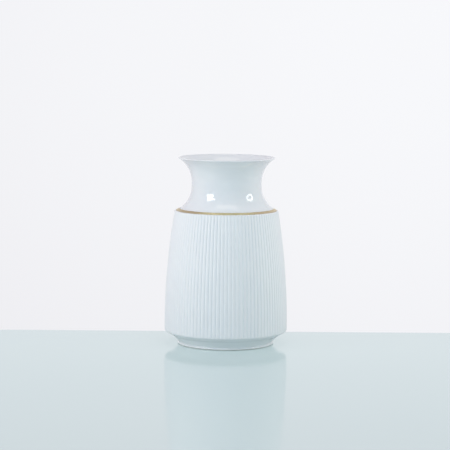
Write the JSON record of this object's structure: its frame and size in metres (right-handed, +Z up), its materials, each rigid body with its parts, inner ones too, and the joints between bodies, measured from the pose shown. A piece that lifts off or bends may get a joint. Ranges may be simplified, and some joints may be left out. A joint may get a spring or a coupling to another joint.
{
  "type": "vase",
  "caption": "Free-standing porcelain vase with a reeded barrel body, a waisted neck, a flared lip, a gilded shoulder line and a coved foot ring.",
  "frame": {"origin": "on the vase's axis, at the height of the surface it stands on", "axes": "+Z up along the axis of revolution; the front faces -Y, but the vase looks the same all round"},
  "size_m": [0.1316, 0.1316, 0.2],
  "materials": {
    "bare_porcelain": "unglazed, fine-grained, matt",
    "outer_glaze": "clear glaze over cool white porcelain, glossy on the neck and softer over the reeds",
    "inner_glaze": "glossy cool white glaze",
    "recess_glaze": "glossy cool white glaze",
    "gilding": "fired gold, softly burnished"
  },
  "bodies": {
    "root": {"ribbed_body": "bare_porcelain", "neck": "bare_porcelain", "base": "bare_porcelain", "outer_glaze": "outer_glaze", "inner_glaze": "inner_glaze", "recess_glaze": "recess_glaze", "gold_band": "gilding"}
  },
  "joints": []
}
